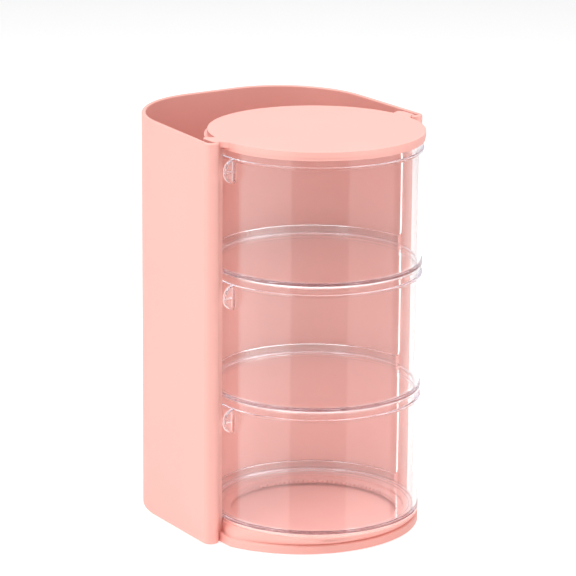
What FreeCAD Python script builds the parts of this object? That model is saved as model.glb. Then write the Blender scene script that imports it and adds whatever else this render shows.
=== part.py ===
import FreeCAD, Part
import math
import os

# Rotating desk organizer: a U-shaped housing with a pen bay at the back, and in its front a
# tower of three clear drums that each turn about the tower's vertical axis.
# Frame: origin on the tower's axis at desk level, +X right, +Y to the back, +Z up.
# Lengths are in millimetres and angles in degrees, counted from +X towards +Y.

V = FreeCAD.Vector
UP = V(0, 0, 1)
ORIGIN = V(0, 0, 0)
fit_gap = 0.3              # clearance between fixed pieces that slot together
running_gap = 0.4          # clearance between pieces that turn on each other

# Rubber feet, and with them the height of everything above the desk
foot_r = 6.0
foot_t = 2.0
foot_proud = 0.6
foot_round = 0.5
foot_in = 14.0             # from the plate's edge in to a foot's centre
front_foot_angle = 36.0    # either side of the middle, off +X about the front edge's centre
back_foot_angle = 35.0     # about the back corner's centre
foot_pad = 2.0             # solid ring round a foot's or a screw's pocket

# Tower: drums, track, cradle and cover share one axis
tiers = ("drawer_bottom", "drawer_middle", "drawer_top")
tower_z = 12.1             # underside of the lowest drum
tier_pitch = 72.0          # from one drum's floor to the next
drum_r = 60.0              # outside of a drum's wall
drum_wall = 2.2
floor_proud = 0.5          # a drum's floor edge stands out from its wall
floor_edge_h = 2.9
floor_t = 1.9
floor_round = 0.6
bead_drop = 4.2            # from a drum's bead up to the next floor
bead_proud = 0.6
bead_h = 1.2
collar_step = 0.5          # the thin collar over the bead lies in from the wall
collar_wall = 1.9
collar_in_groove = 1.0     # how far a collar reaches into the groove above it
groove_rib = 2.0           # ring inside the groove
wall_start = 171.0         # a drum's wall runs from here, through the front,
wall_end = 357.0           # to here
lip_h = 4.0                # low lip along the open side of a drum
end_fillet = 5.0           # from the wall's end down into the lip
end_round = 3.0            # at the top corners of the wall
end_reach = 16.0           # angle that the cut at each end of the wall covers

# Finger fin of a drum
fin_angle = 186.5
fin_r = 7.0                # half disc standing out from the wall
fin_web = 1.6
fin_edge = 2.6             # thickness of its rounded edge
fin_edge_w = 1.4
fin_edge_round = 0.5
fin_below_bead = 6.5

# Cradle behind the drums, with a cheek at each end
cradle_gap = 1.3           # from a drum's wall to the cradle
cradle_wall = 2.0
cheek_w = 1.0              # from the cradle's outside to the rolled end beside it

# Top cover with two ears that lie inside the rolled ends
cover_over_stack = 2.1     # from the top drum's pitch to the cover's underside
cover_t = 3.2
cover_proud = 1.5          # the cover's edge stands out from the drums
cover_round = 0.9
ear_tongue = 1.2            # thickness of the tongue that clips behind the rolled end
ear_tongue_w = 6.0
ear_tongue_l = 9.0
# ear corners: in from the ear's outer side, and back from the centre of the rolled end
ear_corners = (
    (22.0, -18.0), (7.4, -7.2), (3.2, -2.2), (0.0, -1.6), (0.0, 9.4), (2.2, 12.2), (8.6, 8.2),
    (22.0, 5.0),
)
ear_round = 1.6
guide_w = 1.2              # ribs under the cover, either side of the top drum's collar

# Housing shell: outline, walls and rim
bay_depth = 45.6           # from the cradle to the back wall
back_flat = 33.0           # straight part of the back wall
side_taper = 2.6           # each side wall leans in towards the back, in plan
shell_wall = 2.4
nose_r = 4.7               # rolled front end of each side wall
nose_y = 2.25              # centre of the rolled end
nose_return = 9.0          # how far the rolled end runs back inside
rim_below_cover = 0.1      # the rim's front lies just under the cover's top
rim_rise = 2.2             # the rim climbs this much to the back
rim_round = 0.9

# Base plate, with a neck that carries the track
plate_h = 5.0
plate_skin = 2.4           # thickness over its hollow underside
plate_side = 2.6           # wall round the hollow underside
plate_proud = 8.8          # the front edge's radius is this much larger than the drums'
plate_front_cy = 14.5      # centre of that radius
plate_edge_round = 1.2
neck_ledge = 1.5           # ledge between the neck's foot and the plate's edge
neck_wall = 2.6
track_seat = 1.9           # depth of the track's seat in the neck's flat top
deck_w = 11.5              # width of the neck's flat top
track_w = 7.5              # width of the turning track

# Raised floor for short pens, in the left half of the bay
riser_top = 118.0
riser_t = 2.2
riser_edge_x = 6.0
riser_front = 6.0          # from the rolled ends' inner edge back to the raised floor
riser_skirt = 2.0
riser_leg_r = 4.0
riser_leg_in = 8.0         # from the shell's inside to a leg's centre
riser_leg_angles = (45.0, 5.0)
bay_gap = 0.5              # clearance of the raised floor to the bay's walls

# Screws under the base, into bosses on the shell and the cradle
screw_r = 1.5
screw_l = 10.0
screw_head_r = 2.8
screw_head_h = 1.6
boss_r = 4.0
boss_h = 11.0
boss_cap = 2.0             # solid top over the boss's blind hole
boss_sink = 1.0            # how far a boss reaches into the wall it stands on
shell_boss_angle = 62.0    # about the back corner's centre
cradle_boss_angle = 48.0   # about the tower's axis

# Sizes that follow from the ones above
plate_z = foot_proud
plate_top = plate_z + plate_h
drum_in_r = drum_r - drum_wall
floor_edge_r = drum_r + floor_proud
shoulder = tier_pitch - bead_drop
collar_r = drum_r - collar_step
collar_in_r = collar_r - collar_wall
groove_out_r = collar_r + running_gap
groove_in_r = collar_in_r - running_gap
groove_depth = collar_in_groove + running_gap
stack_top = tower_z + len(tiers) * tier_pitch
cover_z = stack_top + cover_over_stack
cover_top = cover_z + cover_t
cover_r = drum_r + cover_proud
cradle_in_r = drum_r + cradle_gap
cradle_out_r = cradle_in_r + cradle_wall
plate_front_r = drum_r + plate_proud
neck_foot_r = plate_front_r - neck_ledge
deck_z = tower_z - running_gap
track_z = deck_z - track_seat
deck_in_r = collar_r - deck_w
rim_front_z = cover_top - rim_below_cover
taper_cos = math.cos(math.radians(side_taper))
taper_tan = math.tan(math.radians(side_taper))
nose_in = cradle_out_r + cheek_w         # the rolled end's face towards the tower
ear_side = nose_in + shell_wall + fit_gap + ear_tongue
nose_x = nose_in + nose_r
nose_end_y = nose_y + nose_return
half_width = nose_x + nose_r / taper_cos
back_y = cradle_out_r + bay_depth + shell_wall
corner_x = back_flat / 2
back_corner_r = half_width - corner_x - (back_y - nose_y) * taper_tan
back_corner_r = back_corner_r / (1 / taper_cos - taper_tan)
corner_y = back_y - back_corner_r


def polar(r, angle, centre=ORIGIN):
    a = math.radians(angle)
    return centre + V(r * math.cos(a), r * math.sin(a), 0)


def arc(centre, r, a0, a1):
    start = polar(r, a0, centre)
    middle = polar(r, (a0 + a1) / 2, centre)
    return Part.Arc(start, middle, polar(r, a1, centre)).toShape()


def prism(edges, z0, z1):
    """A closed outline in the XY plane, raised from z0 to z1."""
    face = Part.Face(Part.Wire(Part.__sortEdges__(edges)))
    face.translate(V(0, 0, z0))
    return face.extrude(V(0, 0, z1 - z0))


def box(x0, y0, z0, x1, y1, z1):
    return Part.makeBox(x1 - x0, y1 - y0, z1 - z0, V(x0, y0, z0))


def post(point, r, z0, z1):
    return Part.makeCylinder(r, z1 - z0, V(point[0], point[1], z0), UP)


def disc(r, z0, z1):
    return post((0, 0), r, z0, z1)


def ring(r_out, r_in, z0, z1, a0=0.0, a1=360.0):
    """A round wall about the tower's axis, over the angles a0 to a1."""
    outer = Part.makeCylinder(r_out, z1 - z0, V(0, 0, z0), UP, a1 - a0)
    outer.rotate(ORIGIN, UP, a0)
    return outer.cut(disc(r_in, z0 - 1, z1 + 1))


def spun(points):
    """A closed profile of (radius, height) points, turned about the tower's axis."""
    corners = [V(r, 0, z) for r, z in points]
    face = Part.Face(Part.makePolygon(corners + corners[:1]))
    return face.revolve(ORIGIN, UP, 360)


def edges_where(shape, test):
    """The edges whose middle point passes the test."""
    found = []
    for edge in shape.Edges:
        middle = edge.valueAt((edge.FirstParameter + edge.LastParameter) / 2)
        if test(middle):
            found.append(edge)
    return found


def mirrored(shape):
    return shape.mirror(ORIGIN, V(1, 0, 0))


def mirror_edges(edges):
    return [mirrored(edge) for edge in edges]


def bay_outline(inset, front_y):
    """The housing's outline in plan, moved inwards and closed across at front_y."""
    r = back_corner_r - inset
    corner = V(corner_x, corner_y, 0)
    side_x = half_width - inset / taper_cos - (front_y - nose_y) * taper_tan
    front = V(side_x, front_y, 0)
    right = [Part.makeLine(front, polar(r, side_taper, corner)), arc(corner, r, side_taper, 90)]
    across = [Part.makeLine(V(-side_x, front_y, 0), front),
              Part.makeLine(V(corner_x, corner_y + r, 0), V(-corner_x, corner_y + r, 0))]
    return right + mirror_edges(right) + across


def shell_outline():
    """The shell's wall in plan: the U with its two rolled ends, as one closed line."""
    corner = V(corner_x, corner_y, 0)
    nose = V(nose_x, nose_y, 0)
    end_y = nose_end_y
    right = []
    for inset in (0, shell_wall):
        r = back_corner_r - inset
        roll = nose_r - inset
        tip = V(nose_x - roll, nose_y, 0)
        right.append(Part.makeLine(V(tip.x, end_y, 0), tip))
        right.append(arc(nose, roll, -180, side_taper))
        right.append(Part.makeLine(polar(roll, side_taper, nose), polar(r, side_taper, corner)))
        right.append(arc(corner, r, side_taper, 90))
    right.append(Part.makeLine(V(nose_in, end_y, 0), V(nose_in + shell_wall, end_y, 0)))
    across = []
    for inset in (0, shell_wall):
        y = back_y - inset
        across.append(Part.makeLine(V(corner_x, y, 0), V(-corner_x, y, 0)))
    return right + mirror_edges(right) + across


def both_sides(right):
    return [(right.x, right.y), (-right.x, right.y)]


def in_corner(inset, angle):
    """A point near the right back corner, this far in from the shell's inside."""
    return polar(back_corner_r - shell_wall - inset, angle, V(corner_x, corner_y, 0))


def shell_boss_points():
    return both_sides(in_corner(boss_r - boss_sink, shell_boss_angle))


def cradle_boss_points():
    return both_sides(polar(cradle_out_r + boss_r - boss_sink, cradle_boss_angle))


def foot_points():
    """Four feet near the plate's corners, and one under the tower's axis."""
    front = polar(plate_front_r - foot_in, -front_foot_angle, V(0, plate_front_cy, 0))
    return both_sides(front) + both_sides(in_corner(foot_in, back_foot_angle)) + [(0, 0)]


def with_bosses(body, points):
    """Adds screw bosses that stand just over the plate, with blind pilot holes."""
    for point in points:
        body = body.fuse(post(point, boss_r, plate_top, plate_top + boss_h))
    for point in points:
        hole_top = plate_top + boss_h - boss_cap
        body = body.cut(post(point, screw_r + fit_gap / 2, plate_top - 1, hole_top))
    return body


def outer_shell():
    """U-shaped wall with its front ends rolled inwards, and a rim that climbs to the back."""
    top = rim_front_z + rim_rise
    body = prism(shell_outline(), plate_z, top + rim_rise)
    front = nose_y - nose_r
    span = back_y - front
    low = V(-2 * back_y, front - span, rim_front_z - rim_rise)
    high = V(-2 * back_y, back_y + span, top + rim_rise)
    lift = V(0, 0, span)
    over = Part.Face(Part.makePolygon([low, high, high + lift, low + lift, low]))
    body = body.cut(over.extrude(V(4 * back_y, 0, 0)))
    body = body.makeFillet(rim_round, edges_where(body, lambda p: p.z > rim_front_z - 1))
    # seats for the cover's ears, which lie flush over the rolled ends
    seat = ear(cover_z, top + 1, fit_gap)
    body = body.cut(seat).cut(mirrored(seat))
    return with_bosses(body, shell_boss_points())


def tower_cradle():
    """Round back wall behind the drums, with a cheek beside each rolled end."""
    start = math.degrees(math.asin(nose_y / cradle_in_r))
    body = ring(cradle_out_r, cradle_in_r, plate_top, cover_z, start, 180 - start)
    middle_r = cradle_in_r + cradle_wall / 2
    cheek = box(middle_r - nose_return, nose_y, plate_top, nose_in, nose_end_y, cover_z)
    cheek = cheek.cut(disc(cradle_in_r, plate_top - 1, cover_z + 1))
    body = body.fuse([cheek, mirrored(cheek)]).removeSplitter()
    return with_bosses(body, cradle_boss_points())


def plate_body(inset, z0, z1):
    """The plate's outline in plan, moved inwards, as a solid from z0 to z1."""
    front = post((0, plate_front_cy), plate_front_r - inset, z0, z1)
    reach = nose_in - fit_gap - inset
    bay_front = nose_end_y + fit_gap + inset
    front = front.common(box(-reach, -2 * plate_front_r, z0, reach, bay_front + nose_r, z1))
    bay = prism(bay_outline(shell_wall + fit_gap + inset, bay_front), z0, z1)
    return front.fuse(bay).removeSplitter()


def neck_body(inset, z0, z1):
    """Leans from the foot circle on the plate to the round deck under the drums."""
    rings = []
    for z, r, y in ((plate_top, neck_foot_r, plate_front_cy), (deck_z, floor_edge_r, 0)):
        circle = Part.Circle(V(0, y, z), UP, r - inset).toShape()
        rings.append(Part.Wire([circle]))
    body = Part.makeLoft(rings, True, True)
    inside = disc(cradle_in_r - fit_gap - inset, z0, z1)
    reach = nose_in - fit_gap - neck_ledge - inset
    front = box(-reach, -2 * plate_front_r, z0, reach, nose_y - nose_r - fit_gap - inset, z1)
    return body.common(inside.fuse(front))


def base_plate():
    """Plate with a rounded front foot, a leaning neck over it and a hollow underside."""
    body = plate_body(0, plate_z, plate_top)
    front = edges_where(body, lambda p: p.z > plate_top - 0.1 and p.y < plate_front_cy - plate_front_r / 2)
    body = body.makeFillet(plate_edge_round, front)
    neck = neck_body(0, plate_top, deck_z)
    body = body.fuse(neck)
    hollow = neck_body(neck_wall, plate_top, track_z - neck_wall)
    hollow = hollow.common(disc(2 * plate_front_r, plate_top, track_z - neck_wall))
    body = body.cut(hollow)
    body = body.cut(disc(deck_in_r, plate_top, deck_z + 1))
    body = body.cut(disc(collar_r, track_z, deck_z + 1))
    under = plate_body(plate_side, plate_z - 1, plate_top - plate_skin)
    for point in foot_points():
        under = under.cut(post(point, foot_r + foot_pad, plate_z - 1, plate_top))
    for point in shell_boss_points() + cradle_boss_points():
        under = under.cut(post(point, screw_head_r + foot_pad, plate_z - 1, plate_top))
    body = body.cut(under)
    for point in foot_points():
        body = body.cut(post(point, foot_r + fit_gap / 2, 0, foot_t))
    for point in shell_boss_points() + cradle_boss_points():
        body = body.cut(post(point, screw_r + fit_gap, 0, plate_top + 1))
        body = body.cut(post(point, screw_head_r + fit_gap, 0, plate_z + screw_head_h))
    return body


def turning_track():
    """Flat ring seated in the neck's top, with an upright tongue that the lowest drum turns on."""
    tongue_z = tower_z + collar_in_groove
    inner = collar_r - track_w
    return spun([(inner, track_z), (collar_r, track_z), (collar_r, tongue_z),
                 (collar_in_r, tongue_z), (collar_in_r, deck_z), (inner, deck_z)])


def end_cutter(top):
    """Cuts a drum's wall from angle 0 onwards, rounding its foot and its top corner."""
    x = collar_in_r * math.cos(math.radians(end_reach)) - drum_wall
    low = floor_edge_h + lip_h
    reach = drum_r * math.tan(math.radians(end_reach))
    bend = V(x, end_fillet, low + end_fillet)
    crown = V(x, -end_round, top - end_round)
    foot = Part.Arc(V(x, 0, bend.z), bend - V(0, 1, 1) * (end_fillet * math.sqrt(0.5)),
                    V(x, end_fillet, low)).toShape()
    head = Part.Arc(V(x, crown.y, top), crown + V(0, 1, 1) * (end_round * math.sqrt(0.5)),
                    V(x, 0, crown.z)).toShape()
    edges = [foot, head]
    around = [V(x, end_fillet, low), V(x, reach, low), V(x, reach, top + 1),
              V(x, crown.y, top + 1), V(x, crown.y, top)]
    for a, b in zip(around, around[1:]):
        edges.append(Part.makeLine(a, b))
    edges.append(Part.makeLine(V(x, 0, crown.z), V(x, 0, bend.z)))
    face = Part.Face(Part.Wire(Part.__sortEdges__(edges)))
    return face.extrude(V(drum_r * 1.1 - x, 0, 0))


def fin():
    """Half disc on the wall near the bead, with a thicker rounded edge to push with."""
    centre = V(drum_r, -fin_web / 2, shoulder - fin_below_bead)
    web = Part.makeCylinder(fin_r, fin_web, centre, V(0, 1, 0))
    centre.y = -fin_edge / 2
    rim = Part.makeCylinder(fin_r, fin_edge, centre, V(0, 1, 0))
    rim = rim.makeFillet(fin_edge_round, edges_where(rim, lambda p: p.z < centre.z - fin_r / 2))
    rim = rim.cut(Part.makeCylinder(fin_r - fin_edge_w, fin_edge, centre, V(0, 1, 0)))
    body = web.fuse(rim)
    body = body.cut(disc(drum_r - drum_wall / 2, 0, tier_pitch))
    body.rotate(ORIGIN, UP, fin_angle)
    return body


def drum():
    """One clear drum, with its underside at z = 0: floor with a groove, wall, bead, collar, fin."""
    top = tier_pitch + collar_in_groove
    groove_wall = groove_in_r - groove_rib
    bead_r = drum_r + bead_proud
    under = floor_edge_h - floor_t
    body = spun([(0, under), (groove_wall, under), (groove_wall, 0), (groove_in_r, 0),
                 (groove_in_r, groove_depth), (groove_out_r, groove_depth), (groove_out_r, 0),
                 (floor_edge_r - floor_round, 0), (floor_edge_r, floor_round),
                 (floor_edge_r, floor_edge_h), (drum_r, floor_edge_h), (drum_r, shoulder - bead_h / 2),
                 (bead_r, shoulder - bead_h / 4), (bead_r, shoulder + bead_h / 4),
                 (drum_r, shoulder + bead_h / 2), (collar_r, shoulder + bead_h / 2),
                 (collar_r, top), (collar_in_r, top), (collar_in_r, shoulder),
                 (drum_in_r, shoulder - bead_h), (drum_in_r, floor_edge_h), (0, floor_edge_h)])
    gap_start = wall_end - 360
    first = end_cutter(top)
    last = mirrored(end_cutter(top))
    last.rotate(ORIGIN, UP, 180)
    first.rotate(ORIGIN, UP, gap_start)
    last.rotate(ORIGIN, UP, wall_start)
    middle = ring(drum_r * 1.08, collar_in_r - drum_wall, floor_edge_h + lip_h, top + 1,
                  gap_start + end_reach - 1, wall_start - end_reach + 1)
    body = body.cut(first.fuse([last, middle]))
    return body.fuse(fin()).removeSplitter()


def ear(z0, z1, grow):
    """The right ear's outline with rounded corners, grown sideways, from z0 to z1."""
    corners = [V(ear_side - x, nose_y + y, 0) for x, y in ear_corners]
    inner = Part.makePolygon(corners + corners[:1]).makeOffset2D(-ear_round)
    return prism(inner.makeOffset2D(ear_round + grow).Edges, z0, z1)


def top_cover():
    """Round lid with two ears, a tongue under each, and guide ribs for the top drum's collar."""
    middle_z = cover_z + cover_t / 2
    body = disc(cover_r, cover_z, cover_top)
    right = ear(cover_z, cover_top, 0)
    body = body.fuse([right, mirrored(right)]).removeSplitter()
    body = body.makeFillet(cover_round, edges_where(body, lambda p: p.z > cover_top - 0.01))
    # tongues go down inside the rolled ends, against their inner legs
    y0 = nose_y + (nose_return - ear_tongue_w) / 2
    tongue = box(ear_side - ear_tongue, y0, cover_z - ear_tongue_l, ear_side, y0 + ear_tongue_w, middle_z)
    body = body.fuse([tongue, mirrored(tongue)])
    for inner in (groove_out_r, groove_in_r - guide_w):
        body = body.fuse(ring(inner + guide_w, inner, stack_top + running_gap, middle_z))
    return body


def pen_riser():
    """Raised floor in the left half of the bay, on two legs and a skirt along its open edge."""
    far = 2 * back_y
    deck = prism(bay_outline(shell_wall + bay_gap, nose_end_y + riser_front), plate_top, riser_top)
    deck = deck.cut(disc(cradle_out_r + bay_gap, plate_top - 1, riser_top + 1))
    deck = deck.common(box(-far, 0, plate_top, riser_edge_x, far, riser_top))
    body = deck.common(box(-far, 0, riser_top - riser_t, riser_edge_x, far, riser_top))
    skirt = box(riser_edge_x - riser_skirt, 0, plate_top, riser_edge_x, far, riser_top)
    body = body.fuse(deck.common(skirt))
    for angle in riser_leg_angles:
        point = both_sides(in_corner(riser_leg_in, angle))[1]
        body = body.fuse(post(point, riser_leg_r, plate_top, riser_top - riser_t / 2))
    return body.removeSplitter()


def base_screws():
    screws = []
    for point in shell_boss_points() + cradle_boss_points():
        head = post(point, screw_head_r, plate_z, plate_z + screw_head_h)
        shank = post(point, screw_r, plate_z + screw_head_h / 2, plate_z + screw_l)
        screws.append(head.fuse(shank).removeSplitter())
    return Part.makeCompound(screws)


def rubber_feet():
    feet = []
    for point in foot_points():
        foot = post(point, foot_r, 0, foot_t)
        feet.append(foot.makeFillet(foot_round, edges_where(foot, lambda p: p.z < 0.01)))
    return Part.makeCompound(feet)


parts = {
    "outer_shell": outer_shell(),
    "tower_cradle": tower_cradle(),
    "base_plate": base_plate(),
    "turning_track": turning_track(),
    "top_cover": top_cover(),
    "pen_riser": pen_riser(),
    "base_screws": base_screws(),
    "rubber_feet": rubber_feet(),
}
for level, name in enumerate(tiers):
    parts[name] = drum()
    parts[name].translate(V(0, 0, tower_z + level * tier_pitch))

os.makedirs("parts", exist_ok=True)
for name, shape in parts.items():
    shape.exportStep(os.path.join("parts", name + ".step"))
    print(name, shape.isValid(), len(shape.Solids), round(shape.Volume / 1000, 1), shape.BoundBox)
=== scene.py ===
import math

import bmesh
import bpy
from mathutils import Matrix, Vector


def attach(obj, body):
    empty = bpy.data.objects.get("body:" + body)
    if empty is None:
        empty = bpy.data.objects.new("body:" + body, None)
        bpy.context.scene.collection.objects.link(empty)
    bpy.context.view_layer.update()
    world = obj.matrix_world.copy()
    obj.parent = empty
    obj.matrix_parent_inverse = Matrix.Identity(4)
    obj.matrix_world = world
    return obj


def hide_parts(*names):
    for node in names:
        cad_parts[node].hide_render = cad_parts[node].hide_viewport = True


# Rotating desk organizer. Pieces are modelled in millimetres, in the frame of the CAD model:
# origin on the tower's axis at desk level, +X right, +Y to the back, +Z up.
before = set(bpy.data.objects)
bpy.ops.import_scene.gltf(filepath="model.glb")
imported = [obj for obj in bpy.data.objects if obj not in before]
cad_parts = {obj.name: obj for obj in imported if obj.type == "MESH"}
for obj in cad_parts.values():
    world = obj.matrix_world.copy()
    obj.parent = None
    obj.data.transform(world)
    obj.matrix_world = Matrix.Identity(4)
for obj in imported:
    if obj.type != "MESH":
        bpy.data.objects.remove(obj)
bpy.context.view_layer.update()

# ---------------------------------------------------------------------------
# Camera: a long lens from the front left, about two metres from the tower and looking slightly
# down on it. Its lens is in millimetres, its place in metres and its angles are in degrees.
SENSOR_WIDTH = 36.0
FOCAL_LENGTH = 216.3
CAMERA_REACH = 50.0
CAMERA_PLACE = (-1.0688, -1.5693, 0.6517)
CAMERA_TURN = -33.79
CAMERA_DIP = 15.07
CAMERA_ROLL = 0.42
# light runs a long way inside the clear drums before it comes out
LIGHT_PATH = 96
CLEAR_LAYERS = 32

scene = bpy.context.scene
lens = bpy.data.cameras.new("studio_camera")
lens.sensor_width = SENSOR_WIDTH
lens.lens = FOCAL_LENGTH
lens.clip_end = CAMERA_REACH
camera = bpy.data.objects.new("studio_camera", lens)
scene.collection.objects.link(camera)
camera.matrix_world = (
    Matrix.Translation(CAMERA_PLACE)
    @ Matrix.Rotation(math.radians(CAMERA_TURN), 4, "Z")
    @ Matrix.Rotation(math.radians(90 - CAMERA_DIP), 4, "X")
    @ Matrix.Rotation(math.radians(CAMERA_ROLL), 4, "Z")
)
scene.camera = camera
scene.view_settings.view_transform = "Standard"
scene.cycles.max_bounces = LIGHT_PATH
scene.cycles.glossy_bounces = LIGHT_PATH
scene.cycles.transmission_bounces = CLEAR_LAYERS
scene.cycles.transparent_max_bounces = CLEAR_LAYERS

# ---------------------------------------------------------------------------
# Outer shell: a U-shaped wall of injection-moulded ABS, open at the top as a pen bay. Its two
# front ends are rolled inwards into round posts, and its rim climbs slightly to the back.
SHELL_WALL = 2.4
SIDE_TAPER = math.radians(2.6)
NOSE_R = 4.7
NOSE_Y = 2.25
NOSE_RETURN = 9.0
NOSE_IN = 64.3
NOSE_X = NOSE_IN + NOSE_R
NOSE_STEPS = 32
BACK_Y = 111.3
CORNER_X = 16.5
CORNER_STEPS = 40
HALF_WIDTH = NOSE_X + NOSE_R / math.cos(SIDE_TAPER)
CORNER_R = (HALF_WIDTH - CORNER_X - (BACK_Y - NOSE_Y) * math.tan(SIDE_TAPER)) / (
    1 / math.cos(SIDE_TAPER) - math.tan(SIDE_TAPER)
)
SHELL_BOTTOM = 0.6
RIM_FRONT = 233.3
RIM_RISE = 2.2
RIM_ROUND = 0.9
FOOT_ROUND = 0.4
# the lid's ears lie in seats cut into the rolled posts
LID_LOW = 230.2
EAR_SIDE = 68.2
EAR_ROUND = 1.2
# (in from the ear's outer side, back from the rolled post's centre)
EAR_CORNERS = (
    (22.0, -18.0), (7.4, -7.2), (3.2, -2.2), (0.0, -1.6), (0.0, 9.4), (2.2, 12.2), (8.6, 8.2),
    (22.0, 5.0),
)
SEAT_GAP = 0.3
SEAT_TOP = 240.0

# edges that bend by more than this are rounded
SHARP = math.radians(50)
# a height past the ends of every piece
FAR = 1000.0

ABS_IOR = 1.52
# per metre: flow marks about 45 mm long, and a grain of 0.5 mm, the finest that shows (the real
# grain is 0.1 mm)
FLOW_MARKS = 22.0
FINE_GRAIN = 2000.0
GRAIN_DEPTH = 0.00005
GRAIN_STRENGTH = 0.05
ROUGHNESS_SPREAD = 0.03


def linear(hex_colour):
    """An sRGB hex colour as linear RGBA."""
    values = [int(hex_colour[i : i + 2], 16) / 255 for i in (1, 3, 5)]
    return [v / 12.92 if v <= 0.04045 else ((v + 0.055) / 1.055) ** 2.4 for v in values] + [1.0]


def add(owner, kind, settings=(), links=()):
    """A node with its socket or property settings, and links from other nodes' outputs."""
    node = owner.node_tree.nodes.new("ShaderNode" + kind)
    for key, value in dict(settings).items():
        if isinstance(key, int) or key in node.inputs:
            node.inputs[key].default_value = value
        else:
            setattr(node, key, value)
    for key, source in dict(links).items():
        owner.node_tree.links.new(source, node.inputs[key])
    return node


def new_material(name):
    material = bpy.data.materials.new(name)
    material.use_nodes = True
    material.node_tree.nodes.clear()
    return material


def satin_finish(name, colour, deep, roughness, sockets):
    """An even colour with a faint flow of tone, a soft wide highlight and a fine grain."""
    material = new_material(name)
    place = add(material, "TexCoord").outputs["Object"]
    flow = add(material, "TexNoise", {"Scale": FLOW_MARKS, "Detail": 2.0}, {"Vector": place})
    tone = add(
        material, "Mix", {"data_type": "RGBA", 6: linear(colour), 7: linear(deep)},
        {0: flow.outputs["Fac"]},
    )
    grain = add(material, "TexNoise", {"Scale": FINE_GRAIN, "Detail": 1.0}, {"Vector": place})
    bump = add(
        material, "Bump", {"Strength": GRAIN_STRENGTH, "Distance": GRAIN_DEPTH},
        {"Height": grain.outputs["Fac"]},
    )
    sheen = add(
        material, "MapRange",
        {"To Min": roughness - ROUGHNESS_SPREAD, "To Max": roughness + ROUGHNESS_SPREAD},
        {"Value": flow.outputs["Fac"]},
    )
    shader = add(
        material, "BsdfPrincipled", sockets,
        {"Base Color": tone.outputs[2], "Roughness": sheen.outputs["Result"],
         "Normal": bump.outputs["Normal"]},
    )
    add(material, "OutputMaterial", (), {"Surface": shader.outputs["BSDF"]})
    return material


# ABS from a spark-eroded mould: soft pink, satin, the same on every moulding
pink_abs = satin_finish("satin_pink_abs", "#F6B5AB", "#F4B1A6", 0.42, {"IOR": ABS_IOR})


def carve(bm, tool, how):
    """Boolean of two closed meshes; the result replaces the first one."""
    objects = []
    for source in (bm, tool):
        mesh = bpy.data.meshes.new("carving")
        source.to_mesh(mesh)
        carving = bpy.data.objects.new("carving", mesh)
        scene.collection.objects.link(carving)
        objects.append(carving)
    modifier = objects[0].modifiers.new("carve", "BOOLEAN")
    modifier.operation = how
    modifier.solver = "EXACT"
    modifier.object = objects[1]
    seen = objects[0].evaluated_get(bpy.context.evaluated_depsgraph_get())
    result = bpy.data.meshes.new_from_object(seen)
    bm.clear()
    bm.from_mesh(result)
    bpy.data.meshes.remove(result)
    for carving in objects:
        mesh = carving.data
        bpy.data.objects.remove(carving)
        bpy.data.meshes.remove(mesh)
    tool.free()
    bmesh.ops.remove_doubles(bm, verts=bm.verts[:], dist=0.0005)
    bmesh.ops.dissolve_degenerate(bm, edges=bm.edges[:], dist=0.0005)


def finish_piece(name, bm, material, body, node, smooth=35):
    """Turns a mesh in millimetres into a named piece that rides on a body."""
    bmesh.ops.recalc_face_normals(bm, faces=bm.faces[:])
    bmesh.ops.scale(bm, vec=(0.001, 0.001, 0.001), verts=bm.verts[:])
    mesh = bpy.data.meshes.new(name)
    bm.to_mesh(mesh)
    bm.free()
    mesh.shade_smooth()
    mesh.set_sharp_from_angle(angle=math.radians(smooth))
    mesh.materials.append(material)
    piece = bpy.data.objects.new(name, mesh)
    scene.collection.objects.link(piece)
    flat = piece.modifiers.new("flat_faces_stay_flat", "WEIGHTED_NORMAL")
    flat.keep_sharp = True
    flat.weight = 90
    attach(piece, body)
    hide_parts(node)


def swing(bm, angle, axis="Z"):
    """Turns a whole mesh about an axis through the origin."""
    matrix = Matrix.Rotation(angle, 3, axis)
    bmesh.ops.rotate(bm, cent=(0, 0, 0), matrix=matrix, verts=bm.verts[:])


def upright_face(inner, outer, low, high, y=0):
    """A mesh of one upright face across the X axis, from which a wall is swept."""
    bm = bmesh.new()
    bmesh.ops.create_grid(bm, x_segments=1, y_segments=1, size=0.5)
    bmesh.ops.scale(bm, vec=(outer - inner, high - low, 1), verts=bm.verts[:])
    swing(bm, math.radians(90), "X")
    bmesh.ops.translate(bm, vec=((inner + outer) / 2, y, (low + high) / 2), verts=bm.verts[:])
    bm.faces.ensure_lookup_table()
    return bm


def outline_face(bm, points):
    """A flat face from its corners, taken in order."""
    return bm.faces.new([bm.verts.new(co) for co in points])


def only(made, kind):
    """The vertices, edges or faces among what an operator made."""
    return [g for g in made if isinstance(g, kind)]


def drop_inner(bm, face):
    """A sweep may leave its first face behind, inside the wall."""
    if face.is_valid and all(len(e.link_faces) > 2 for e in face.edges):
        bm.faces.remove(face)


def pull(bm, face, offset):
    """Extrudes a face along a straight line and gives its new end."""
    made = bmesh.ops.extrude_face_region(bm, geom=[face])["geom"]
    bmesh.ops.translate(bm, vec=offset, verts=only(made, bmesh.types.BMVert))
    drop_inner(bm, face)
    return only(made, bmesh.types.BMFace)[0]


def turn(bm, face, centre, angle, steps):
    """Extrudes a face round an upright axis and gives its new end."""
    made = bmesh.ops.spin(
        bm, geom=[face], cent=centre, axis=(0, 0, 1), angle=angle, steps=steps, use_duplicate=False
    )["geom_last"]
    drop_inner(bm, face)
    return only(made, bmesh.types.BMFace)[0]


def edges_where(bm, test):
    return [e for e in bm.edges if test(e)]


def sharp_edges(bm, above=-FAR, below=FAR):
    """The sharp edges that lie wholly between two heights."""
    return edges_where(
        bm, lambda e: len(e.link_faces) == 2 and e.calc_face_angle() > SHARP
        and all(above < v.co.z < below for v in e.verts)
    )


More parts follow.
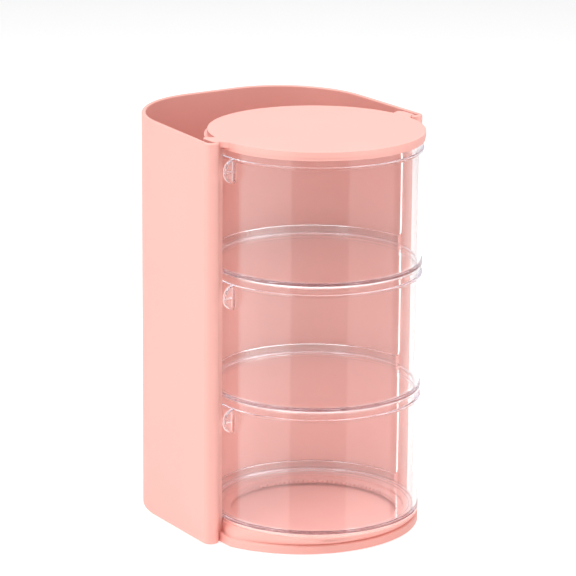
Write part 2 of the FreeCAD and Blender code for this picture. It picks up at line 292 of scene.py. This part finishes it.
def rise(edge):
    return abs(edge.verts[0].co.z - edge.verts[1].co.z)


def round_edges(bm, edges, size, segments):
    bmesh.ops.bevel(
        bm, geom=edges, offset=size, offset_type="OFFSET", segments=segments, profile=0.5,
        affect="EDGES", clamp_overlap=True, material=-1,
    )


def ear_prism(grow, low, high):
    """The right ear of the lid as an upright prism with rounded corners."""
    bm = bmesh.new()
    face = outline_face(bm, [(EAR_SIDE - x, NOSE_Y + y, low) for x, y in EAR_CORNERS])
    pull(bm, face, (0, 0, high - low))
    bmesh.ops.recalc_face_normals(bm, faces=bm.faces[:])
    upright = edges_where(bm, lambda e: e.is_convex and rise(e) > 0.5 * (high - low))
    round_edges(bm, upright, EAR_ROUND, 6)
    bmesh.ops.recalc_face_normals(bm, faces=bm.faces[:])
    if grow:
        sides = [f for f in bm.faces if abs(f.normal.z) < 0.5]
        for vert in bm.verts:
            away = sum((f.normal for f in vert.link_faces if f in sides), Vector())
            vert.co += away.normalized() * grow
    return bm


def mirrored_copy(bm):
    copy = bm.copy()
    bmesh.ops.scale(copy, vec=(-1, 1, 1), verts=copy.verts[:])
    bmesh.ops.recalc_face_normals(copy, faces=copy.faces[:])
    return copy


# the right half, from the end of the roll round the nose and the corner to the middle of the back
shell = upright_face(NOSE_IN, NOSE_IN + SHELL_WALL, SHELL_BOTTOM, RIM_FRONT, NOSE_Y + NOSE_RETURN)
end = pull(shell, shell.faces[0], (0, -NOSE_RETURN, 0))
end = turn(shell, end, (NOSE_X, NOSE_Y, 0), math.pi + SIDE_TAPER, NOSE_STEPS)
corner_y = BACK_Y - CORNER_R
side_run = corner_y - NOSE_Y + (CORNER_R - NOSE_R) * math.sin(SIDE_TAPER)
end = pull(shell, end, (-side_run * math.tan(SIDE_TAPER), side_run, 0))
end = turn(shell, end, (CORNER_X, corner_y, 0), math.pi / 2 - SIDE_TAPER, CORNER_STEPS)
end = pull(shell, end, (-CORNER_X, 0, 0))
shell.faces.remove(end)
half = shell.verts[:] + shell.edges[:] + shell.faces[:]
bmesh.ops.mirror(shell, geom=half, axis="X", merge_dist=0.001)
bmesh.ops.remove_doubles(shell, verts=shell.verts[:], dist=0.001)
bmesh.ops.recalc_face_normals(shell, faces=shell.faces[:])
# the rim climbs to the back
climb = Matrix.Identity(4)
climb[2][1] = RIM_RISE / (BACK_Y - NOSE_Y + NOSE_R)
climb[2][3] = -climb[2][1] * (NOSE_Y - NOSE_R)
rim = [v for v in shell.verts if v.co.z > RIM_FRONT - 1]
bmesh.ops.transform(shell, matrix=climb, verts=rim)
round_edges(shell, sharp_edges(shell, above=RIM_FRONT - 1), RIM_ROUND, 4)
round_edges(shell, sharp_edges(shell, below=SHELL_BOTTOM + 0.4), FOOT_ROUND, 2)
seat = ear_prism(SEAT_GAP, LID_LOW, SEAT_TOP)
carve(shell, mirrored_copy(seat), "DIFFERENCE")
carve(shell, seat, "DIFFERENCE")
finish_piece("outer_shell_wall", shell, pink_abs, "housing", "outer_shell")

# ---------------------------------------------------------------------------
# Tower cradle: the round back wall that the drums turn in, moulded ABS, with a cheek at each end
# that fills the gap to the rolled post beside it. It stands on the base plate under the lid.
CRADLE_IN = 61.3
CRADLE_OUT = 63.3
CRADLE_LOW = 5.6
CRADLE_ROUND = 0.4
CRADLE_STEPS = 120
CRADLE_START = math.asin(NOSE_Y / CRADLE_IN)
CHEEK = 3.0
# the cheek's inner face stands this far behind the cradle's, so that the two don't coincide
CHEEK_BACK = 0.3
ROUND_STEPS = 240


def block(size, centre):
    """A rectangular block by its size and its centre."""
    bm = bmesh.new()
    bmesh.ops.create_cube(bm, size=1)
    bmesh.ops.scale(bm, vec=size, verts=bm.verts[:])
    bmesh.ops.translate(bm, vec=centre, verts=bm.verts[:])
    return bm


def disc(radius, height):
    """An upright cylinder, centred on the origin."""
    bm = bmesh.new()
    bmesh.ops.create_cone(
        bm, cap_ends=True, segments=ROUND_STEPS, radius1=radius, radius2=radius, depth=height
    )
    return bm


cradle = upright_face(CRADLE_IN, CRADLE_OUT, CRADLE_LOW, LID_LOW)
swing(cradle, CRADLE_START)
turn(cradle, cradle.faces[0], (0, 0, 0), math.pi - 2 * CRADLE_START, CRADLE_STEPS)
bmesh.ops.recalc_face_normals(cradle, faces=cradle.faces[:])
for side in (-1, 1):
    middle = (side * (NOSE_IN - CHEEK / 2), NOSE_Y + NOSE_RETURN / 2, (LID_LOW + CRADLE_LOW) / 2)
    cheek = block((CHEEK, NOSE_RETURN, LID_LOW - CRADLE_LOW), middle)
    carve(cheek, disc(CRADLE_IN + CHEEK_BACK, 3 * LID_LOW), "DIFFERENCE")
    carve(cradle, cheek, "UNION")
tall = [e for e in sharp_edges(cradle) if rise(e) > 0.5 * LID_LOW]
round_edges(cradle, tall, CRADLE_ROUND, 2)
finish_piece("cradle_wall", cradle, pink_abs, "housing", "tower_cradle")

# ---------------------------------------------------------------------------
# Lid: a flat round disc of the same ABS with rounded edges. Its two ears lie flush inside the
# rolled posts, a tongue under each clips into its post, and two ribs below guide the top drum.
LID_R = 61.5
LID_TOP = 233.4
LID_ROUND = 0.9
LID_UNDER_ROUND = 0.3
# inner and outer radius of each rib
LID_RIBS = ((54.8, 56.0), (59.9, 61.1))
RIB_LOW = 228.5
RIB_HEIGHT = 2.8
TONGUE = (1.2, 6.0, 10.6)
TONGUE_LOW = 221.2
TONGUE_BACK = 4.5
TONGUE_ROUND = 0.35

lid = disc(LID_R, LID_TOP - LID_LOW)
bmesh.ops.translate(lid, vec=(0, 0, (LID_TOP + LID_LOW) / 2), verts=lid.verts[:])
ear = ear_prism(0, LID_LOW, LID_TOP)
carve(lid, mirrored_copy(ear), "UNION")
carve(lid, ear, "UNION")
bmesh.ops.dissolve_limit(
    lid, angle_limit=math.radians(0.5), verts=lid.verts[:], edges=lid.edges[:]
)
round_edges(lid, sharp_edges(lid, above=LID_TOP - 0.1), LID_ROUND, 4)
round_edges(lid, sharp_edges(lid, below=LID_LOW + 0.1), LID_UNDER_ROUND, 2)
for inner, outer in LID_RIBS:
    rib = bmesh.new()
    for radius in (inner, outer):
        bmesh.ops.create_circle(rib, segments=ROUND_STEPS, radius=radius)
    bmesh.ops.bridge_loops(rib, edges=rib.edges[:])
    bmesh.ops.translate(rib, vec=(0, 0, RIB_LOW), verts=rib.verts[:])
    made = bmesh.ops.extrude_face_region(rib, geom=rib.faces[:])["geom"]
    bmesh.ops.translate(rib, vec=(0, 0, RIB_HEIGHT), verts=only(made, bmesh.types.BMVert))
    bmesh.ops.recalc_face_normals(rib, faces=rib.faces[:])
    carve(lid, rib, "UNION")
for side in (-1, 1):
    middle = (
        side * (EAR_SIDE - TONGUE[0] / 2), NOSE_Y + TONGUE_BACK, TONGUE_LOW + TONGUE[2] / 2
    )
    tongue = block(TONGUE, middle)
    tip = edges_where(tongue, lambda e: max(v.co.z for v in e.verts) < TONGUE_LOW + 0.8)
    round_edges(tongue, tip, TONGUE_ROUND, 2)
    carve(lid, tongue, "UNION")
finish_piece("lid", lid, pink_abs, "housing", "top_cover")


# ---------------------------------------------------------------------------
# Base and hidden mouldings: the plate with its round foot and neck, the track ring and the raised
# pen floor are moulded in the same ABS and keep their CAD shape, welded and smoothed.
def smoothed_node(name, node, material):
    """A welded copy of a CAD node with smooth shading."""
    bm = bmesh.new()
    bm.from_mesh(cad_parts[node].data)
    bmesh.ops.scale(bm, vec=(1000, 1000, 1000), verts=bm.verts[:])
    bmesh.ops.remove_doubles(bm, verts=bm.verts[:], dist=0.002)
    finish_piece(name, bm, material, "housing", node, smooth=30)


smoothed_node("base_and_neck", "base_plate", pink_abs)
smoothed_node("track_ring", "turning_track", pink_abs)
smoothed_node("raised_pen_floor", "pen_riser", pink_abs)

# ---------------------------------------------------------------------------
# Drums: three clear drawers of general-purpose polystyrene, each one moulding with a floor, a
# wall through the front, a bead under its collar, and a low lip along its open side.
TIERS = ("bottom", "middle", "top")
TOWER_Z = 12.1
PITCH = 72.0
DRUM_R = 60.0
DRUM_IN = 57.8
DRUM_ROUND = 0.22
DRUM_STEPS = 216
UNDERSIDE = 1.0
DRUM_FLOOR = 2.9
# the groove that the collar of the drum below runs in, between two rings under the floor
SKIRT_IN = 55.2
GROOVE_IN = 57.2
GROOVE_OUT = 59.9
GROOVE_TOP = 1.4
SKIRT_OUT = 60.5
COLLAR_IN = 57.6
COLLAR_OUT = 59.5
COLLAR_LOW = 67.8
COLLAR_TOP = 73.0
BEAD_R = 60.6
BEAD_LOW = 66.8
BEAD_TOP = 68.4
# (radius, height) from the underside's middle, out and up over the wall and its rounded bead, and
# down the inside back to the middle
DRUM_PROFILE = (
    (0, UNDERSIDE), (SKIRT_IN, UNDERSIDE), (SKIRT_IN, 0), (GROOVE_IN, 0), (GROOVE_IN, GROOVE_TOP),
    (GROOVE_OUT, GROOVE_TOP), (GROOVE_OUT, 0), (SKIRT_OUT, 0), (SKIRT_OUT, DRUM_FLOOR),
    (DRUM_R, DRUM_FLOOR), (DRUM_R, BEAD_LOW), (BEAD_R - 0.15, BEAD_LOW + 0.2),
    (BEAD_R, BEAD_LOW + 0.6), (BEAD_R, BEAD_TOP - 0.5), (BEAD_R - 0.2, BEAD_TOP - 0.1),
    (COLLAR_OUT, BEAD_TOP), (COLLAR_OUT, COLLAR_TOP), (COLLAR_IN, COLLAR_TOP),
    (COLLAR_IN, COLLAR_LOW), (DRUM_IN, COLLAR_LOW - 1.2), (DRUM_IN, DRUM_FLOOR), (0, DRUM_FLOOR),
)
# the wall stands between these angles, and the lip runs along the rest
WALL_START = math.radians(171)
WALL_END = math.radians(357)
LIP_TOP = 6.9
END_FILLET = 5.0
END_ROUND = 3.0
# the shaped ends of the wall each take this much of the open side
END_SECTOR = math.radians(14)
END_CUT = 16.5
END_OVERLAP = 8.0
OPEN_STEPS = 84
# the cutting tools reach through the wall, from these radii out, and past the collar's top
SECTOR_IN = 49.0
CUTTER_IN = 50.0
CUT_DEPTH = 20.0
CUT_TOP = COLLAR_TOP + 2
# the finger fin: a half disc with a thin web, a thick edge and a root inside the wall
FIN_ANGLE = math.radians(186.5)
FIN_Z = 61.3
FIN_R = 7.0
FIN_EDGE_IN = 5.6
FIN_EDGE = 2.6
FIN_EDGE_ROUND = 0.6
FIN_WEB = 1.6
FIN_STEPS = 64
FIN_ROOT = 1.1
# (middle's distance from the wall, size) of the edge along the wall and of the rib
FIN_BARS = ((0.3, (1.4, FIN_EDGE, 12.6)), (3.0, (6.4, 2.3, 1.0)))
FIN_BAR_ROUND = 0.3

PS_IOR = 1.49
# per metre: slow waves of a moulded wall, about 25 mm long
WALL_WAVES = 40.0
WAVE_DEPTH = 0.00006
WAVE_STRENGTH = 0.25
EDGE_TINT = "#AEA0D6"
EDGE_TINT_DENSITY = 2.2


def clear_polystyrene():
    """Water-clear, glossy and slightly violet at its edges; shadows pass through it."""
    material = new_material("clear_polystyrene")
    place = add(material, "TexCoord").outputs["Object"]
    waves = add(material, "TexNoise", {"Scale": WALL_WAVES, "Detail": 1.0}, {"Vector": place})
    bump = add(
        material, "Bump", {"Strength": WAVE_STRENGTH, "Distance": WAVE_DEPTH},
        {"Height": waves.outputs["Fac"]},
    )
    shader = add(
        material, "BsdfPrincipled",
        {"Base Color": linear("#FFFFFF"), "Roughness": 0.0, "IOR": PS_IOR,
         "Transmission Weight": 1.0},
        {"Normal": bump.outputs["Normal"]},
    )
    through = add(material, "BsdfTransparent", {"Color": linear("#FDFDFE")})
    ray = add(material, "LightPath")
    mixed = add(
        material, "MixShader", (),
        {0: ray.outputs["Is Shadow Ray"], 1: shader.outputs["BSDF"], 2: through.outputs["BSDF"]},
    )
    # seen edge on, where light runs a long way inside, the clear wall turns a greyish violet
    depth = add(
        material, "VolumeAbsorption", {"Color": linear(EDGE_TINT), "Density": EDGE_TINT_DENSITY}
    )
    add(
        material, "OutputMaterial", (),
        {"Surface": mixed.outputs["Shader"], "Volume": depth.outputs["Volume"]},
    )
    return material


clear_ps = clear_polystyrene()


def round_corners(bm, verts, size, segments):
    """Rounds the corners of a flat outline."""
    bmesh.ops.bevel(
        bm, geom=verts, offset=size, offset_type="OFFSET", segments=segments, profile=0.5,
        affect="VERTICES", clamp_overlap=True, material=-1,
    )


def revolve(bm, across, axis, steps):
    """Spins an outline once round an axis, on which its coordinate across is 0."""
    bmesh.ops.delete(bm, geom=bm.faces[:], context="FACES_ONLY")
    for edge in edges_where(bm, lambda e: all(abs(v.co[across]) < 0.01 for v in e.verts)):
        bm.edges.remove(edge)
    bmesh.ops.spin(
        bm, geom=bm.verts[:] + bm.edges[:], cent=(0, 0, 0), axis=axis, angle=2 * math.pi,
        steps=steps, use_merge=True,
    )
    bmesh.ops.remove_doubles(bm, verts=bm.verts[:], dist=0.001)
    bmesh.ops.recalc_face_normals(bm, faces=bm.faces[:])


def wall_cutter(side):
    """Cuts the wall away from angle 0 on: a foot that sweeps into the lip, a rounded top corner."""
    bm = bmesh.new()
    outline = (
        (0, LIP_TOP), (END_CUT, LIP_TOP), (END_CUT, CUT_TOP), (-END_OVERLAP, CUT_TOP),
        (-END_OVERLAP, COLLAR_TOP), (0, COLLAR_TOP),
    )
    face = outline_face(bm, [(CUTTER_IN, side * y, z) for y, z in outline])
    pull(bm, face, (CUT_DEPTH, 0, 0))
    for z, size in ((LIP_TOP, END_FILLET), (COLLAR_TOP, END_ROUND)):
        across = edges_where(
            bm, lambda e: all(abs(v.co.y) < 0.01 and abs(v.co.z - z) < 0.01 for v in e.verts)
        )
        round_edges(bm, across, size, 10)
    bmesh.ops.recalc_face_normals(bm, faces=bm.faces[:])
    return bm


def finger_fin():
    """Half disc on the wall with a thicker rounded edge, to push the drum round with."""
    bm = bmesh.new()
    half_outline = (
        (FIN_WEB / 2, 0), (FIN_WEB / 2, FIN_EDGE_IN), (FIN_EDGE / 2, FIN_EDGE_IN),
        (FIN_EDGE / 2, FIN_R),
    )
    outline_face(
        bm, [(0, -y, z) for y, z in half_outline] + [(0, y, z) for y, z in half_outline[::-1]]
    )
    round_corners(bm, [v for v in bm.verts if v.co.z > FIN_R - 0.1], FIN_EDGE_ROUND, 4)
    revolve(bm, 2, (0, 1, 0), FIN_STEPS)
    bmesh.ops.translate(bm, vec=(DRUM_R, 0, FIN_Z), verts=bm.verts[:])
    cut = bmesh.ops.bisect_plane(
        bm, geom=bm.verts[:] + bm.edges[:] + bm.faces[:], plane_co=(DRUM_R - FIN_ROOT, 0, 0),
        plane_no=(-1, 0, 0), clear_outer=True,
    )["geom_cut"]
    bmesh.ops.holes_fill(bm, edges=only(cut, bmesh.types.BMEdge))
    bmesh.ops.recalc_face_normals(bm, faces=bm.faces[:])
    # the thick edge comes back down along the wall, and a rib crosses the web halfway up
    for out, size in FIN_BARS:
        bar = block(size, (DRUM_R + out, 0, FIN_Z))
        round_edges(bar, bar.edges[:], FIN_BAR_ROUND, 3)
        carve(bm, bar, "UNION")
    swing(bm, FIN_ANGLE)
    return bm


def drum():
    """One drum on the tower's axis, with its underside at height 0."""
    bm = bmesh.new()
    outline_face(bm, [(r, 0, z) for r, z in DRUM_PROFILE])
    round_corners(bm, [v for v in bm.verts if v.co.x > 1], DRUM_ROUND, 2)
    revolve(bm, 0, (0, 0, 1), DRUM_STEPS)
    # the open side: a sector between the two shaped ends
    opening = upright_face(SECTOR_IN, SECTOR_IN + CUT_DEPTH, LIP_TOP, CUT_TOP)
    first = WALL_END - 2 * math.pi + END_SECTOR
    swing(opening, first)
    turn(opening, opening.faces[0], (0, 0, 0), WALL_START - END_SECTOR - first, OPEN_STEPS)
    bmesh.ops.recalc_face_normals(opening, faces=opening.faces[:])
    carve(bm, opening, "DIFFERENCE")
    for side, angle in ((1, WALL_END), (-1, WALL_START)):
        cutter = wall_cutter(side)
        swing(cutter, angle)
        carve(bm, cutter, "DIFFERENCE")
    carve(bm, finger_fin(), "UNION")
    return bm


for level, tier in enumerate(TIERS):
    clear_drum = drum()
    lift = (0, 0, TOWER_Z + level * PITCH)
    bmesh.ops.translate(clear_drum, vec=lift, verts=clear_drum.verts[:])
    finish_piece(
        tier + "_clear_drum", clear_drum, clear_ps, tier + "_drum",
        "drawer_" + tier,
    )

# ---------------------------------------------------------------------------
# Feet: five soft rubber discs, moulded in grey and pressed into round pockets under the base.
# They keep their CAD shape, and their matt surface gives almost no highlight.
RUBBER_IOR = 1.52
foot_rubber = satin_finish("grey_foot_rubber", "#3A3A3C", "#323234", 0.7, {"IOR": RUBBER_IOR})
smoothed_node("rubber_feet_set", "rubber_feet", foot_rubber)

# ---------------------------------------------------------------------------
# Screws: four of zinc-plated steel, driven up through the base into the bosses. They keep their
# CAD shape, and the plating gives them a cool grey, half blurred gloss.
zinc = satin_finish("zinc_plated_steel", "#B9BCC0", "#AEB1B5", 0.35, {"Metallic": 1.0})
smoothed_node("base_screw_set", "base_screws", zinc)

# ---------------------------------------------------------------------------
# Studio: a white paper floor, tall soft boxes left and right of the camera, and one overhead.
# Sizes are in metres.
FLOOR_HALF = 6.0
# the paper's own glow, and how much more it has where it is looked at
PAPER_GLOW = 0.35
PAPER_SEEN_GLOW = 0.2
# strength of the white screens in mirrored rays, and of the room on matt surfaces
SCREEN_LEVEL = 1.9
ROOM_LEVEL = 0.12
# (degrees round the tower from the right, level of what is mirrored there)
SCREEN_STOPS = (
    (-180, 0.9), (-152, 0.9), (-149, 0.03), (-90, 0.03), (-87, 0.8), (-33, 0.8), (-29, 0.2),
    (18, 0.2), (24, 0.5), (108, 0.5), (114, 0.9), (180, 0.9),
)
# (name, degrees round the tower, distance, width, height, centre's height, aim's height, radiance)
SOFT_BOXES = (
    ("left_soft_box", 177.0, 1.2, 1.7, 1.4, 0.76, 0.76, 1.16),
    ("right_soft_box", 308.0, 1.2, 1.65, 1.4, 0.76, 0.76, 0.95),
    ("top_soft_box", 230.0, 0.2, 1.6, 1.6, 1.4, 0.12, 2.75),
)
AIM_Y = 0.02

floor_mesh = bpy.data.meshes.new("studio_floor")
floor_bm = bmesh.new()
bmesh.ops.create_grid(floor_bm, x_segments=1, y_segments=1, size=FLOOR_HALF)
floor_bm.to_mesh(floor_mesh)
floor_bm.free()
floor = bpy.data.objects.new("studio_floor", floor_mesh)
scene.collection.objects.link(floor)
# the clear walls mirror the screens down to the table, not the paper
floor.visible_glossy = False
# matt white paper, with a little white of its own so that its shadows stay soft
paper = new_material("white_paper_floor")
paper_ray = add(paper, "LightPath")
paper_seen = add(
    paper, "Math", {"operation": "MAXIMUM"},
    {0: paper_ray.outputs["Is Camera Ray"], 1: paper_ray.outputs["Is Transmission Ray"]},
)
paper_white = add(
    paper, "Math", {"operation": "MULTIPLY_ADD", 1: PAPER_SEEN_GLOW, 2: PAPER_GLOW},
    {0: paper_seen.outputs["Value"]},
)
paper_shader = add(
    paper, "BsdfPrincipled",
    {"Base Color": linear("#F8F8F8"), "Roughness": 0.7, "Emission Color": (1, 1, 1, 1)},
    {"Emission Strength": paper_white.outputs["Value"]},
)
add(paper, "OutputMaterial", (), {"Surface": paper_shader.outputs["BSDF"]})
floor_mesh.materials.append(paper)

# The world: white paper behind the table and wherever the camera or a clear wall looks through.
# Mirrored in the clear walls are two tall white screens, left and right of a dark gap in front.
world = bpy.data.worlds.new("studio_world")
scene.world = world
world.use_nodes = True
room_ray = add(world, "LightPath")
room_place = add(world, "TexCoord")
room_axes = add(world, "SeparateXYZ", (), {"Vector": room_place.outputs["Generated"]})
room_angle = add(
    world, "Math", {"operation": "ARCTAN2"}, {0: room_axes.outputs["Y"], 1: room_axes.outputs["X"]}
)
room_turn = add(
    world, "MapRange", {"From Min": -math.pi, "From Max": math.pi},
    {"Value": room_angle.outputs["Value"]},
)
screens = add(world, "ValToRGB", (), {"Fac": room_turn.outputs["Result"]})
ramp = screens.color_ramp
# a new ramp has two stops already
for _ in SCREEN_STOPS[2:]:
    ramp.elements.new(0.5)
for stop, (degrees, level) in zip(ramp.elements, SCREEN_STOPS):
    stop.position = (degrees + 180) / 360
    stop.color = (level, level, level, 1)
screen_light = add(
    world, "Math", {"operation": "MULTIPLY", 1: SCREEN_LEVEL}, {0: screens.outputs["Color"]}
)
mirrored_room = add(
    world, "Math", {"operation": "MULTIPLY"},
    {0: room_ray.outputs["Is Glossy Ray"], 1: screen_light.outputs["Value"]},
)
looked_at = add(
    world, "Math", {"operation": "MAXIMUM"},
    {0: room_ray.outputs["Is Camera Ray"], 1: room_ray.outputs["Is Transmission Ray"]},
)
seen_room = add(
    world, "Math", {"operation": "MAXIMUM"},
    {0: looked_at.outputs["Value"], 1: mirrored_room.outputs["Value"]},
)
diffuse_room = add(
    world, "Math", {"operation": "MULTIPLY", 1: ROOM_LEVEL},
    {0: room_ray.outputs["Is Diffuse Ray"]},
)
room_level = add(
    world, "Math", {"operation": "MAXIMUM"},
    {0: seen_room.outputs["Value"], 1: diffuse_room.outputs["Value"]},
)
backing = world.node_tree.nodes["Background"]
backing.inputs["Color"].default_value = (1, 1, 1, 1)
world.node_tree.links.new(room_level.outputs["Value"], backing.inputs["Strength"])

for name, degrees, distance, width, height, centre_z, aim_z, radiance in SOFT_BOXES:
    light = bpy.data.lights.new(name, "AREA")
    light.shape = "RECTANGLE"
    light.size = width
    light.size_y = height
    light.energy = radiance * math.pi * width * height
    lamp = bpy.data.objects.new(name, light)
    scene.collection.objects.link(lamp)
    angle = math.radians(degrees)
    lamp.location = (distance * math.cos(angle), distance * math.sin(angle), centre_z)
    aim = Vector((0, AIM_Y, aim_z)) - lamp.location
    lamp.rotation_euler = aim.to_track_quat("-Z", "Y").to_euler()
